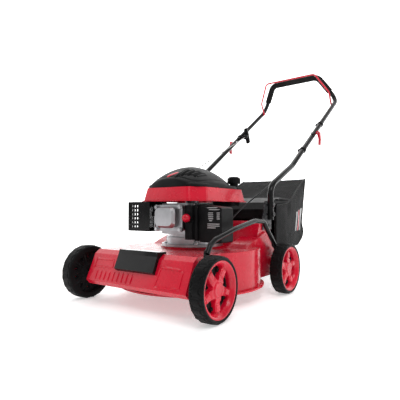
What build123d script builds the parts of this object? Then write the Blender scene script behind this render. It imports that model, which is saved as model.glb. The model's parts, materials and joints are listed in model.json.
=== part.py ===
from build123d import *
from math import atan2, cos, degrees, radians, sin, tan
import os

# Walk-behind petrol lawn mower, millimetres, +Z up, ground at Z 0. The mower faces -Y and the
# operator's left is +X. Y stations below are counted from the front wheel axles.
FRONT_AXLE_Y = -588.0
WHEELBASE = 459.0
WHEEL_R = 88.9
WHEEL_WIDTH = 44.0
WHEEL_INNER_X = 239.0
WHEEL_OUTER_X = WHEEL_INNER_X + WHEEL_WIDTH
TREAD_FLATS = 24
RIM_R = 76.0
STUB_R = 6.0
RUNNING_GAP = 0.05

# Raising linkage: each cross shaft stands this far behind and above its wheels' axles.
CRANK_BACK = 42.0
CRANK_UP = 14.0
SHAFT_R = 7.0
CRANK_X0 = 216.0
CRANK_X1 = 221.0
LINK_X = 229.0
LINK_R = 8.0
LINK_WALL = 1.5
LINK_PIN_DY = -30.0
LINK_PIN_DZ = 47.0
LINK_PIN_R = 5.0

# Deck
CHAMBER_Y = 247.0
CHAMBER_R = 240.0
FLANGE_R = 252.0
SHEET = 4.0
DECK_BOTTOM = 43.0
SKIRT_BOTTOM = 60.0
DECK_TOP = 168.0
DECK_HALF = 203.0
HUMP_HALF = 195.0
SHOULDER_X = 128.0
HUMP_TOP = 257.0
DECK_REAR = 522.0

# Engine, centred on the blade shaft
ENGINE_Y = 250.0
ENGINE_SEAT = 174.0
CYLINDER_X = 14.0
FILLER_X = 88.0
FILLER_Y = 390.0
CYLINDER_Z = 271.0
SHROUD_BOTTOM = 326.0

# Handle
HANDLE_X = 212.0
TUBE_R = 11.0
TUBE_WALL = 1.6
FOLD_Y = 905.0
FOLD_Z = 651.5
LAP = 40.0
BAIL_R = 4.0
BAIL_X = 196.0

BRACKET_BOLTS = (414.0, 448.0)
BRACKET_BOLT_Z = 240.0

# Collecting bag and flap
BAG_Y = 532.0
BAG_HALF_FRONT = 193.0
BAG_HALF_REAR = 162.0
BAG_WALL = 3.0
FLAP_HALF = 199.0
FLAP_FRONT_HALF = 189.0
FLAP_ROD_Y = 462.0
FLAP_ROD_Z = 272.0
FLAP_ROD_R = 4.0


def st(y):
    """Y of a station counted from the front wheel axles."""
    return y + FRONT_AXLE_Y


def side_plane(x):
    """Sketch plane across the mower at x: its axes run along Y and Z."""
    return Plane(origin=(x, 0, 0), x_dir=(0, 1, 0), z_dir=(1, 0, 0))


def stations(points):
    """Side-view points, with each Y counted from the front axles."""
    return [(st(y), z) for y, z in points]


def save(builder, name):
    """Label the finished piece and write its file."""
    builder.part.label = name
    export_step(builder.part, f"parts/{name}.step")


def side_slab(points, x0, x1):
    """Slab with a side-view outline, from x0 to x1."""
    with BuildPart() as slab:
        with BuildSketch(side_plane(x0)):
            with BuildLine():
                Polyline(*stations(points), close=True)
            make_face()
        extrude(amount=x1 - x0)
    return slab.part


def post(x, y, z, radius, height):
    """Upright cylinder with its base centre at x, y, z."""
    with BuildPart() as cylinder:
        with BuildSketch(Plane.XY.offset(z)):
            with Locations((x, y)):
                Circle(radius)
        extrude(amount=height)
    return cylinder.part


def cross_pin(x0, x1, y, z, radius):
    """Cylinder along X from x0 to x1."""
    with BuildPart() as pin:
        with BuildSketch(side_plane(x0)):
            with Locations((y, z)):
                Circle(radius)
        extrude(amount=x1 - x0)
    return pin.part


def long_pin(x, y0, y1, z, radius):
    """Cylinder along Y from y0 to y1."""
    with BuildPart() as pin:
        with BuildSketch(Plane.XZ.offset(-y0)):
            with Locations((x, z)):
                Circle(radius)
        extrude(amount=-(y1 - y0))
    return pin.part


def block(x0, x1, y0, y1, z0, z1):
    """Plain box between two corners."""
    with BuildPart() as box:
        with BuildSketch(Plane.XY.offset(z0)):
            with Locations(((x0 + x1) / 2, (y0 + y1) / 2)):
                Rectangle(x1 - x0, y1 - y0)
        extrude(amount=z1 - z0)
    return box.part


def rounded_block(x0, x1, y0, y1, z0, z1, radius):
    """Box with its upright edges rounded."""
    with BuildPart() as box:
        with BuildSketch(Plane.XY.offset(z0)):
            with Locations(((x0 + x1) / 2, (y0 + y1) / 2)):
                RectangleRounded(x1 - x0, y1 - y0, radius)
        extrude(amount=z1 - z0)
    return box.part


def rod(points, radii, radius, wall=None):
    """Round bar, or tube with a wall, along straight runs joined by arcs."""
    with BuildPart() as bar:
        with BuildLine() as path:
            if radii:
                FilletPolyline(*points, radius=radii)
            else:
                Polyline(*points)
        start = path.line @ 0
        with BuildSketch(Plane(origin=start, z_dir=path.line % 0)):
            Circle(radius)
            if wall:
                Circle(radius - wall, mode=Mode.SUBTRACT)
        sweep(path=path.line)
    return bar.part


def corner_radii(points, share=0.45):
    """Arc at each corner of a cord's route, as large as its two runs allow."""
    radii = []
    for a, b, c in zip(points, points[1:], points[2:]):
        before = Vector(*b) - Vector(*a)
        after = Vector(*c) - Vector(*b)
        turn = radians(before.get_angle(after))
        radii.append(share * min(before.length, after.length) / tan(turn / 2))
    return radii


def mirrored(part):
    """The same piece on the other side of the mower."""
    return mirror(part, about=Plane.YZ)


# ---------------------------------------------------------------- deck
def make_deck_shell():
    outer_low = [(-50, 74), (-14, 156), (4, DECK_TOP), (440, DECK_TOP), (DECK_REAR, 140)]
    outer_low += [(DECK_REAR, SKIRT_BOTTOM), (-36, SKIRT_BOTTOM)]
    inner_low = [(-45, 75), (-10, 153), (6, DECK_TOP - SHEET), (438, DECK_TOP - SHEET)]
    inner_low += [(DECK_REAR - SHEET, 138), (DECK_REAR - SHEET, SKIRT_BOTTOM - 1)]
    inner_low += [(-33, SKIRT_BOTTOM - 1)]
    hump = [(354, DECK_TOP - 8), (384, 248), (396, HUMP_TOP), (452, HUMP_TOP), (DECK_REAR, 150)]
    hump += [(DECK_REAR, 120), (354, 120)]
    hump_void = [(359, 150), (388, 244), (398, HUMP_TOP - SHEET), (449, HUMP_TOP - SHEET)]
    hump_void += [(DECK_REAR + 1, 138), (DECK_REAR + 1, 137), (425, 68), (359, 90)]
    shoulder = [(256, DECK_TOP - 6), (300, 181), (424, 220), (452, 214), (DECK_REAR, 140)]
    shoulder += [(DECK_REAR, 110), (256, 110)]
    shoulder_void = [(264, 158), (302, 175), (422, 214), (422, 158)]
    ramp = [(426, 62), (DECK_REAR, 131), (DECK_REAR, 136), (421, 62)]
    roof_front = 66.0
    roof_low = 90.0
    center = st(CHAMBER_Y)
    void_r = CHAMBER_R - SHEET
    keep_out = post(0, center, DECK_BOTTOM - 1, CHAMBER_R, DECK_TOP - DECK_BOTTOM)
    keep_out -= block(-300, 300, st(-60), st(roof_front), roof_low + SHEET, DECK_TOP)
    pockets = side_slab(inner_low, -DECK_HALF + SHEET, DECK_HALF - SHEET) - keep_out
    chamber = post(0, center, DECK_BOTTOM - 1, void_r, DECK_TOP - SHEET - DECK_BOTTOM + 1)
    chamber -= block(-300, 300, st(-60), st(roof_front), roof_low, DECK_TOP)
    with BuildPart() as deck_shell:
        add(side_slab(outer_low, -DECK_HALF, DECK_HALF))
        add(side_slab(hump, -HUMP_HALF, HUMP_HALF))
        add(side_slab(shoulder, SHOULDER_X, DECK_HALF))
        add(side_slab(shoulder, -DECK_HALF, -SHOULDER_X))
        add(post(0, center, DECK_BOTTOM, CHAMBER_R, DECK_TOP - DECK_BOTTOM))
        add(post(0, center, DECK_BOTTOM, FLANGE_R, 5))
        add(post(0, st(ENGINE_Y), DECK_TOP, 112, ENGINE_SEAT - DECK_TOP))
        add(pockets, mode=Mode.SUBTRACT)
        add(chamber, mode=Mode.SUBTRACT)
        hump_inner = HUMP_HALF - SHEET
        tray = side_slab(shoulder_void, SHOULDER_X + SHEET, DECK_HALF - SHEET - 1)
        add(tray, mode=Mode.SUBTRACT)
        add(mirrored(tray), mode=Mode.SUBTRACT)
        add(side_slab(hump_void, -hump_inner, hump_inner), mode=Mode.SUBTRACT)
        add(side_slab(ramp, -hump_inner - 1, hump_inner + 1))
        add(post(0, center, DECK_BOTTOM - 1, void_r, roof_low - DECK_BOTTOM), mode=Mode.SUBTRACT)
        add(post(0, st(ENGINE_Y), DECK_TOP - 10, 40, 30), mode=Mode.SUBTRACT)
        for y in (0, WHEELBASE):
            shaft_y = st(y + CRANK_BACK)
            shaft_z = WHEEL_R + CRANK_UP
            hole = cross_pin(-DECK_HALF - 50, DECK_HALF + 50, shaft_y, shaft_z, 11.0)
            add(hole, mode=Mode.SUBTRACT)
        for y in BRACKET_BOLTS:
            add(cross_pin(-250, 250, st(y), BRACKET_BOLT_Z, 3.1), mode=Mode.SUBTRACT)
        with Locations((0, st(ENGINE_Y), DECK_TOP)):
            with PolarLocations(92, 4, start_angle=45):
                Cylinder(4.2, 40, mode=Mode.SUBTRACT)
    return deck_shell


def make_front_grip_insert():
    face = [(-42.5, 119), (-24, 163), (-20, 176), (16, 174), (16, 168.4), (4, 168.4), (-14.3, 156.4)]
    face += [(-34, 112)]
    with BuildPart() as front_grip_insert:
        add(side_slab(face, -80, 80))
    return front_grip_insert


def make_handle_brackets():
    plate = [(404, 226), (474, 226), (474, 300), (458, 330), (426, 330), (404, 262)]
    with BuildPart() as handle_brackets:
        left = side_slab(plate, HUMP_HALF + 0.3, HUMP_HALF + 4.3)
        for z in (282, 316):
            left -= cross_pin(HUMP_HALF - 2, HUMP_HALF + 8, st(441), z, 4.2)
        for y in BRACKET_BOLTS:
            left -= cross_pin(HUMP_HALF - 2, HUMP_HALF + 8, st(y), BRACKET_BOLT_Z, 3.1)
        left -= cross_pin(HUMP_HALF - 2, HUMP_HALF + 8, st(FLAP_ROD_Y), FLAP_ROD_Z, FLAP_ROD_R + 0.3)
        add(left)
        add(mirrored(left))
    return handle_brackets


def make_axle_bushings():
    with BuildPart() as axle_bushings:
        for y in (0, WHEELBASE):
            shaft_y = st(y + CRANK_BACK)
            shaft_z = WHEEL_R + CRANK_UP
            bush = cross_pin(DECK_HALF - 12, DECK_HALF, shaft_y, shaft_z, 10.95)
            bush += cross_pin(DECK_HALF + 0.05, DECK_HALF + 9, shaft_y, shaft_z, 14)
            bush += cross_pin(DECK_HALF - 1, DECK_HALF + 2, shaft_y, shaft_z, 10.95)
            bush -= cross_pin(DECK_HALF - 20, DECK_HALF + 20, shaft_y, shaft_z, SHAFT_R + RUNNING_GAP)
            add(bush)
            add(mirrored(bush))
    return axle_bushings


# ---------------------------------------------------------------- wheels and raising linkage
def make_axle(y, with_pins):
    """Cross shaft with a crank plate and a stub axle at each end."""
    shaft_y = st(y + CRANK_BACK)
    shaft_z = WHEEL_R + CRANK_UP
    wheel_y = st(y)
    pin_y = shaft_y + LINK_PIN_DY
    pin_z = shaft_z + LINK_PIN_DZ
    with BuildPart() as plate:
        with BuildSketch(side_plane(CRANK_X0)):
            with BuildLine():
                Polyline((wheel_y, WHEEL_R), (shaft_y, shaft_z), (pin_y, pin_z), close=True)
            make_face()
            offset(amount=12)
        extrude(amount=CRANK_X1 - CRANK_X0)
    plain = cross_pin(CRANK_X0, CRANK_X1, shaft_y, shaft_z, 12)
    with BuildPart() as short_plate:
        with BuildSketch(side_plane(CRANK_X0)):
            reach = Vector(wheel_y - shaft_y, WHEEL_R - shaft_z)
            with Locations(((wheel_y + shaft_y) / 2, (WHEEL_R + shaft_z) / 2)):
                angle = degrees(atan2(reach.Y, reach.X))
                SlotCenterToCenter(reach.length, 24, rotation=angle)
        extrude(amount=CRANK_X1 - CRANK_X0)
    stub = cross_pin(CRANK_X1 - 1, 272.3, wheel_y, WHEEL_R, STUB_R)
    stub += cross_pin(272.3, 275.5, wheel_y, WHEEL_R, 9.5)
    with BuildPart() as axle:
        add(cross_pin(-CRANK_X1, CRANK_X1, shaft_y, shaft_z, SHAFT_R))
        add(plate.part)
        add(plain)
        add(stub)
        add(mirrored(short_plate.part))
        add(mirrored(stub))
        if with_pins:
            add(cross_pin(CRANK_X1 - 1, 230.3, pin_y, pin_z, LINK_PIN_R))
            add(cross_pin(230.3, 232.5, pin_y, pin_z, 7.5))
    return axle


def make_height_link():
    ends = []
    for y in (0, WHEELBASE):
        ends.append((st(y + CRANK_BACK) + LINK_PIN_DY, WHEEL_R + CRANK_UP + LINK_PIN_DZ))
    front, rear = ends
    route = [(LINK_X, st(12), 178), (LINK_X, st(25), 199), (LINK_X, st(49), 214), (LINK_X, st(158), 240)]
    route += [(LINK_X, st(287), 261), (LINK_X, st(351), 258), (LINK_X, st(435), 174)]
    with BuildPart() as height_link:
        add(rod(route, [18, 30, 200, 60, 22], LINK_R, LINK_WALL))
        for (pin_y, pin_z), (end_y, end_z) in zip(ends, ((st(13.5), 180), (st(434), 175))):
            with BuildSketch(side_plane(CRANK_X1 + 1.2)) as tab:
                reach = Vector(end_y - pin_y, end_z - pin_z)
                with Locations(((pin_y + end_y) / 2, (pin_z + end_z) / 2)):
                    SlotCenterToCenter(reach.length, 17, rotation=degrees(atan2(reach.Y, reach.X)))
            extrude(amount=6)
            add(cross_pin(CRANK_X1, 240, pin_y, pin_z, LINK_PIN_R + RUNNING_GAP), mode=Mode.SUBTRACT)
    return height_link


def make_wheel(side, y):
    """Black wheel: lugged tread ring, inner disc with five holes, and hub."""
    wheel_y = st(y)
    with BuildPart() as wheel:
        with BuildSketch(side_plane(WHEEL_INNER_X)):
            with Locations((wheel_y, WHEEL_R)):
                RegularPolygon(WHEEL_R, TREAD_FLATS, major_radius=False, rotation=180 / TREAD_FLATS)
                Circle(RIM_R, mode=Mode.SUBTRACT)
        extrude(amount=WHEEL_WIDTH)
        with BuildSketch(side_plane(WHEEL_INNER_X + 8)):
            with Locations((wheel_y, WHEEL_R)):
                Circle(RIM_R + 1)
                with PolarLocations(50, 5, start_angle=90):
                    Circle(10, mode=Mode.SUBTRACT)
        extrude(amount=4)
        add(cross_pin(CRANK_X1 + 0.7, 272, wheel_y, WHEEL_R, 14))
        bore = cross_pin(CRANK_X1 - 5, 276, wheel_y, WHEEL_R, STUB_R + RUNNING_GAP)
        add(bore, mode=Mode.SUBTRACT)
        if side < 0:
            mirror(about=Plane.YZ, mode=Mode.REPLACE)
    return wheel


def make_hubcap(side, y):
    """Red cover: rim band, five chunky spokes and a flat round centre."""
    wheel_y = st(y)
    face_x = WHEEL_OUTER_X - 10
    with BuildPart() as hubcap:
        with BuildSketch(side_plane(face_x)):
            with Locations((wheel_y, WHEEL_R)):
                Circle(RIM_R - 0.3)
                Circle(RIM_R - 9, mode=Mode.SUBTRACT)
                Circle(27)
                with PolarLocations(44, 5, start_angle=90):
                    Rectangle(50, 21)
                Circle(12, mode=Mode.SUBTRACT)
        extrude(amount=6)
        with BuildSketch(side_plane(face_x - 14)):
            with Locations((wheel_y, WHEEL_R)):
                Circle(RIM_R - 0.3)
                Circle(RIM_R - 4, mode=Mode.SUBTRACT)
        extrude(amount=22)
        with BuildSketch(side_plane(face_x + 4)):
            with Locations((wheel_y, WHEEL_R)):
                Circle(22)
        extrude(amount=5.5)
        if side < 0:
            mirror(about=Plane.YZ, mode=Mode.REPLACE)
    return hubcap


# ---------------------------------------------------------------- engine
def make_engine_sump():
    with BuildPart() as engine_sump:
        add(post(0, st(ENGINE_Y), ENGINE_SEAT, 108, 8))
        add(post(0, st(ENGINE_Y), ENGINE_SEAT + 8, 92, 24))
        add(rounded_block(60, 104, st(260), st(300), ENGINE_SEAT + 8, ENGINE_SEAT + 32, 6))
        with Locations((0, st(ENGINE_Y), ENGINE_SEAT)):
            with PolarLocations(92, 4, start_angle=45):
                Cylinder(4.1, 60, mode=Mode.SUBTRACT)
                Cylinder(8.5, 60, align=(Align.CENTER, Align.CENTER, Align.MIN), mode=Mode.SUBTRACT)
        add(post(0, st(ENGINE_Y), ENGINE_SEAT - 1, 60, 29), mode=Mode.SUBTRACT)
        add(post(0, st(ENGINE_Y), ENGINE_SEAT - 1, 13 + RUNNING_GAP, 40), mode=Mode.SUBTRACT)
    # the oil space is closed below by a plate that holds the lower bearing
        add(post(0, st(ENGINE_Y), ENGINE_SEAT, 61, 5))
        add(post(0, st(ENGINE_Y), ENGINE_SEAT - 1, 13 + RUNNING_GAP, 40), mode=Mode.SUBTRACT)
    return engine_sump


def make_crankcase():
    base = ENGINE_SEAT + 32.3
    with BuildPart() as crankcase:
        add(post(0, st(ENGINE_Y), base, 86, 102))
        add(post(0, st(ENGINE_Y), base - 1, 58, 96), mode=Mode.SUBTRACT)
        add(long_pin(CYLINDER_X, st(128), st(182), CYLINDER_Z, 44))
        for i in range(6):
            fin_y = st(131) + i * 8
            fin = rounded_block(CYLINDER_X - 54, CYLINDER_X + 54, fin_y, fin_y + 3, 218, 320, 1.4)
            add(fin)
        add(long_pin(CYLINDER_X, st(120), st(196), CYLINDER_Z, 32.5), mode=Mode.SUBTRACT)
        add(post(0, st(ENGINE_Y), base + 40, 13 + RUNNING_GAP, 80), mode=Mode.SUBTRACT)
    return crankcase


def make_cylinder_head():
    with BuildPart() as cylinder_head:
        with BuildSketch(Plane.XZ.offset(-st(108))):
            with Locations((CYLINDER_X, CYLINDER_Z)):
                RectangleRounded(104, 82, 12)
        extrude(amount=-19.7)
        add(long_pin(CYLINDER_X, st(116), st(129), CYLINDER_Z, 28), mode=Mode.SUBTRACT)
        plug = cross_pin(CYLINDER_X - 60, CYLINDER_X - 26, st(118), CYLINDER_Z + 14, 5)
        add(plug, mode=Mode.SUBTRACT)
    return cylinder_head


def make_valve_cover():
    face_y = st(78)
    back_y = st(107.7)
    with BuildPart() as valve_cover:
        with BuildSketch(Plane.XZ.offset(-back_y)):
            with Locations((CYLINDER_X, CYLINDER_Z)):
                RectangleRounded(112, 86, 14)
        extrude(amount=4)
        with BuildSketch(Plane.XZ.offset(-back_y + 4)) as foot:
            with Locations((CYLINDER_X, CYLINDER_Z)):
                RectangleRounded(92, 76, 18)
        with BuildSketch(Plane.XZ.offset(-face_y)) as crown:
            with Locations((CYLINDER_X - 2, CYLINDER_Z + 4)):
                RectangleRounded(70, 58, 16)
        loft([foot.sketch, crown.sketch])
        with BuildSketch(Plane.XZ.offset(-back_y)) as hollow:
            with Locations((CYLINDER_X, CYLINDER_Z)):
                RectangleRounded(74, 56, 12)
        extrude(amount=14, mode=Mode.SUBTRACT)
        for x in (-49, 49):
            for z in (-36, 36):
                add(long_pin(CYLINDER_X + x, back_y - 8, back_y, CYLINDER_Z + z, 7.5))
                add(long_pin(CYLINDER_X + x, back_y - 9, back_y + 1, CYLINDER_Z + z, 3.1), mode=Mode.SUBTRACT)
    return valve_cover


def make_spark_plug():
    x0 = CYLINDER_X - 52
    y = st(118)
    z = CYLINDER_Z + 14
    with BuildPart() as spark_plug:
        add(cross_pin(x0 - 8, x0 - 0.3, y, z, 9))
        add(cross_pin(x0 - 0.4, x0 + 16, y, z, 4.9))
        add(cross_pin(x0 - 24, x0 - 8, y, z, 5))
    return spark_plug


def make_ignition_lead():
    x0 = CYLINDER_X - 52
    y = st(118)
    z = CYLINDER_Z + 14
    route = [(x0 - 20, y, z + 7), (x0 - 20, y + 1, z + 18), (x0 - 18, y + 16, z + 29)]
    route += [(x0 - 14, y + 44, z + 31), (x0 - 12, y + 72, z + 30)]
    with BuildPart() as ignition_lead:
        add(cross_pin(x0 - 28, x0 - 10, y, z, 8.5))
        add(rod(route, corner_radii(route), 3.5))
        add(cross_pin(x0 - 24.2, x0 - 9, y, z, 5.05), mode=Mode.SUBTRACT)
    return ignition_lead


def make_muffler():
    with BuildPart() as muffler:
        add(rounded_block(-150, -70, st(130), st(174), 236, 308, 10))
        add(block(-72, CYLINDER_X - 54.4, st(148), st(166), 250, 276))
    return muffler


def make_muffler_guard():
    x0, x1 = -158.0, -58.0
    y0, y1 = st(90), st(178)
    z0, z1 = 226.0, 325.0
    gauge = 1.6
    with BuildPart() as muffler_guard:
        add(block(x0, x1, y0, y1, z0, z1))
        inner = block(x0 + gauge, x1 + 1, y0 + gauge, y1 - gauge, z0 + gauge, z1 - gauge)
        add(inner, mode=Mode.SUBTRACT)
        with BuildSketch(Plane.XZ.offset(-(y0 - 1))):
            with Locations(((x0 + x1) / 2 - 22, (z0 + z1) / 2)):
                with GridLocations(11, 14, 4, 6):
                    RectangleRounded(5.5, 8, 1.5)
        extrude(amount=-4, mode=Mode.SUBTRACT)
        with BuildSketch(side_plane(x0 - 1)):
            with Locations(((y0 + y1) / 2, (z0 + z1) / 2)):
                with GridLocations(13, 14, 5, 6):
                    RectangleRounded(7, 8, 1.5)
        extrude(amount=4, mode=Mode.SUBTRACT)
    return muffler_guard


def make_carburettor():
    with BuildPart() as carburettor:
        add(rounded_block(72, 98, st(150), st(184), 244, 292, 6))
        add(post(85, st(167), 222, 12, 22.5))
        add(cross_pin(CYLINDER_X + 54.4, 72.5, st(160), 268, 13))
        add(cross_pin(66, 104, st(162), 268, 8), mode=Mode.SUBTRACT)
    return carburettor


PRIMER_X = 88.0


def make_air_filter_base():
    with BuildPart() as air_filter_base:
        add(rounded_block(98.4, 111, st(126), st(202), 200, 314, 6))
        add(rounded_block(71, 100, st(112), st(136), 204, 312, 6))
        add(rounded_block(90, 111, st(124), st(140), 204, 312, 6))
        add(cross_pin(95, 124, st(162), 268, 9), mode=Mode.SUBTRACT)
        add(long_pin(PRIMER_X, st(104), st(113), 272, 16))
        add(long_pin(PRIMER_X, st(102), st(122), 272, 13.4), mode=Mode.SUBTRACT)
    return air_filter_base


def make_air_filter_element():
    with BuildPart() as air_filter_element:
        add(rounded_block(111.3, 142, st(146), st(192), 212, 298, 5))
    return air_filter_element


def make_air_filter_cover():
    x0, x1 = 111.4, 197.0
    y0, y1 = st(136), st(202)
    outline = [(x0, 197), (x1, 195), (x1, 304), (x0, 316)]
    inner = [(x0 - 1, 200), (x1 - 3, 198), (x1 - 3, 301), (x0 - 1, 313)]
    with BuildPart() as air_filter_cover:
        with BuildSketch(Plane.XZ.offset(-y0)):
            Polygon(*outline, align=None)
        extrude(amount=-(y1 - y0))
        fillet(air_filter_cover.edges().filter_by(Axis.Y), 7)
        with BuildSketch(Plane.XZ.offset(-y0 - 3)):
            Polygon(*inner, align=None)
        extrude(amount=-(y1 - y0 - 6), mode=Mode.SUBTRACT)
    return air_filter_cover


def make_primer_bulb():
    with BuildPart() as primer_bulb:
        add(long_pin(PRIMER_X, st(100), st(116), 272, 13))
        with Locations((PRIMER_X, st(100), 272)):
            Sphere(13)
        add(long_pin(PRIMER_X, st(107), st(116.5), 272, 10.5), mode=Mode.SUBTRACT)
    return primer_bulb


def make_fuel_tank():
    with BuildPart() as fuel_tank:
        add(rounded_block(10, 108, st(350), st(408), 312, 366, 16))
        add(post(FILLER_X, st(FILLER_Y), 365, 16, 33))
        add(post(FILLER_X, st(FILLER_Y), 330, 13, 70), mode=Mode.SUBTRACT)
        add(rounded_block(13, 105, st(353), st(405), 315, 363, 13), mode=Mode.SUBTRACT)
    return fuel_tank


def make_fuel_cap():
    with BuildPart() as fuel_cap:
        with BuildSketch(Plane.XY.offset(399)):
            with Locations((FILLER_X, st(FILLER_Y))):
                Circle(24)
        extrude(amount=20)
        fillet(fuel_cap.edges().group_by(Axis.Z)[-1], 4)
        with BuildSketch(Plane.XY.offset(396)):
            with Locations((FILLER_X, st(FILLER_Y))):
                with PolarLocations(26.5, 12):
                    Circle(4)
        extrude(amount=24, mode=Mode.SUBTRACT)
        add(post(FILLER_X, st(FILLER_Y), 386, 12.5, 14))
    return fuel_cap


def make_oil_cap():
    with BuildPart() as oil_cap:
        add(post(-90, st(300), 262, 13, 12))
        add(post(-90, st(300), 236, 7, 27))
        add(block(-92.5, -87.5, st(288), st(312), 273, 281))
    return oil_cap


def shroud_outline(inset):
    """Plan-view outline of the blower housing."""
    half = 126 - inset
    with BuildSketch(mode=Mode.PRIVATE) as outline:
        with BuildLine():
            front = st(102) + inset
            rear = st(420) - inset
            Polyline((-half + 30, front), (half - 30, front), (half, front + 60), (half, rear - 12),
                     (half - 20, rear), (-half + 60, rear), (-half, rear - 60), (-half, front + 34), close=True)
        make_face()
        fillet(outline.vertices(), 14)
    return outline.sketch


def make_blower_shroud():
    top = 372.0
    with BuildPart() as blower_shroud:
        with BuildSketch(Plane.XY.offset(SHROUD_BOTTOM)):
            add(shroud_outline(0))
        with BuildSketch(Plane.XY.offset(top)):
            add(shroud_outline(9))
        loft()
        with BuildSketch(Plane.XY.offset(SHROUD_BOTTOM - 1)):
            add(shroud_outline(3))
        with BuildSketch(Plane.XY.offset(top + 1)):
            add(shroud_outline(12))
        loft(mode=Mode.SUBTRACT)
        with BuildSketch(Plane.XY.offset(SHROUD_BOTTOM)):
            add(shroud_outline(-4))
            add(shroud_outline(3), mode=Mode.SUBTRACT)
        extrude(amount=3)
        add(post(FILLER_X, st(FILLER_Y), 366, 16.3, 40), mode=Mode.SUBTRACT)
    return blower_shroud


def make_recoil_cover():
    rim_z = 372.5
    rise = 78.0
    base_r = 132.0
    with BuildPart() as recoil_cover:
        with BuildSketch(side_plane(0)):
            with BuildLine():
                y0 = st(ENGINE_Y)
                Spline((y0, rim_z + rise), (y0 + 74, rim_z + 58), (y0 + base_r - 14, rim_z + 14),
                       tangents=((1, 0), (0.5, -0.86)))
                Line((y0 + base_r - 14, rim_z + 14), (y0 + base_r - 14, rim_z + 10))
                Line((y0 + base_r - 14, rim_z + 10), (y0 + base_r - 18, rim_z + 10))
                Spline((y0 + base_r - 18, rim_z + 10), (y0 + 71, rim_z + 54), (y0, rim_z + rise - 3.5),
                       tangents=((-0.5, 0.86), (-1, 0)))
                Line((y0, rim_z + rise - 3.5), (y0, rim_z + rise))
            make_face()
        revolve(axis=Axis((0, st(ENGINE_Y), 0), (0, 0, 1)))
        with BuildSketch(Plane.XY.offset(rim_z)):
            add(shroud_outline(9))
            add(shroud_outline(14), mode=Mode.SUBTRACT)
        extrude(amount=11)
        with BuildSketch(Plane.XY.offset(rim_z + 8)):
            add(shroud_outline(9))
            with Locations((0, st(ENGINE_Y))):
                Circle(112, mode=Mode.SUBTRACT)
        extrude(amount=3)
        add(post(FILLER_X, st(FILLER_Y), 366, 16.3, 40), mode=Mode.SUBTRACT)
    return recoil_cover


def make_engine_bolts():
    with BuildPart() as engine_bolts:
        for i in range(4):
            angle = radians(45 + 90 * i)
            x = 92 * cos(angle)
            y = st(ENGINE_Y) + 92 * sin(angle)
            add(post(x, y, 156, 4, ENGINE_SEAT + 8.3 - 156))
            add(post(x, y, ENGINE_SEAT + 8.05, 7.5, 6))
            add(post(x, y, 156, 7.5, 7.9))
        for x in (-49, 49):
            for z in (-36, 36):
                back_y = st(107.7)
                add(long_pin(CYLINDER_X + x, back_y - 13, back_y - 8.05, CYLINDER_Z + z, 5.5))
                add(long_pin(CYLINDER_X + x, back_y - 10, back_y, CYLINDER_Z + z, 3))
    return engine_bolts


BRAKE_X = 112.0
BRAKE_Y = 236.0
BRAKE_Z = 300.0


def make_brake_lever():
    with BuildPart() as brake_lever:
        arm = [(BRAKE_Y - 6, BRAKE_Z + 8), (BRAKE_Y + 8, BRAKE_Z + 8), (BRAKE_Y + 12, 256), (BRAKE_Y - 4, 214)]
        arm += [(BRAKE_Y - 16, 216), (BRAKE_Y, 258)]
        lever = side_slab(arm, BRAKE_X, BRAKE_X + 3)
        lever += cross_pin(90, BRAKE_X + 5, st(BRAKE_Y), BRAKE_Z, 4)
        add(lever)
    return brake_lever


# ---------------------------------------------------------------- crankshaft, blade and starter
def make_crankshaft():
    y = st(ENGINE_Y)
    with BuildPart() as crankshaft:
        add(post(0, y, 100, 12.7, 74))
        add(post(0, y, 173, 13, 148))
        add(post(0, y, 320, 10, 60))
        add(post(0, y, 232, 40, 14))
        add(post(0, y, 268, 40, 14))
    return crankshaft


def make_flywheel():
    y = st(ENGINE_Y)
    with BuildPart() as flywheel:
        add(post(0, y, 332, 88, 12))
        with Locations((0, y, 344)):
            with PolarLocations(66, 14):
                Box(34, 3.5, 16, align=(Align.CENTER, Align.CENTER, Align.MIN))
        add(post(0, y, 320.3, 24, 26))
        add(post(0, y, 318, 10.02, 60), mode=Mode.SUBTRACT)
        add(post(0, y, 319, 13.5, 2), mode=Mode.SUBTRACT)
    return flywheel


def make_blade_adapter():
    y = st(ENGINE_Y)
    with BuildPart() as blade_adapter:
        add(post(0, y, 74.3, 24, 8))
        add(post(0, y, 74.3, 18, 50))
        add(post(0, y, 99.9, 12.72, 30), mode=Mode.SUBTRACT)
        add(post(0, y, 70, 5.2, 40), mode=Mode.SUBTRACT)
    return blade_adapter


def make_blade():
    y = st(ENGINE_Y)
    half = 213.0
    width = 52.0
    with BuildPart() as blade:
        with BuildSketch(Plane.XY.offset(70)):
            with Locations((0, y)):
                RectangleRounded(2 * half, width, 4)
                Circle(5.2, mode=Mode.SUBTRACT)
        extrude(amount=4)
        for side in (-1, 1):
            with BuildSketch(Plane.YZ.offset(side * half - (70 if side > 0 else 0))):
                with Locations((y, 0)):
                    low = side * width / 2
                    Polygon((low, 71), (low - side * 9, 74), (low + side * 0, 84), (low + side * 2, 83), align=None)
            extrude(amount=70)
    return blade


def make_blade_bolt():
    y = st(ENGINE_Y)
    with BuildPart() as blade_bolt:
        add(post(0, y, 58, 10, 7))
        add(post(0, y, 65, 17, 4.7))
        add(post(0, y, 69, 5, 30.8))
    return blade_bolt


def make_recoil_pulley():
    y = st(ENGINE_Y)
    with BuildPart() as recoil_pulley:
        add(post(0, y, 392, 44, 3))
        add(post(0, y, 395, 36, 7))
        add(post(0, y, 402, 44, 3))
        add(post(0, y, 385, 13, 60), mode=Mode.SUBTRACT)
    return recoil_pulley


# ---------------------------------------------------------------- handle
LOWER_ROUTE = [(441, 262), (441, 385), (645, 478), (FOLD_Y + 31.6, FOLD_Z + 21.1)]
SLOPE = atan2(FOLD_Z - 478, FOLD_Y - 645)


def along_fold(distance):
    """Side-view point on the upper tube, at a distance from the fold pivot."""
    return (FOLD_Y + distance * cos(SLOPE), FOLD_Z + distance * sin(SLOPE))


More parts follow.
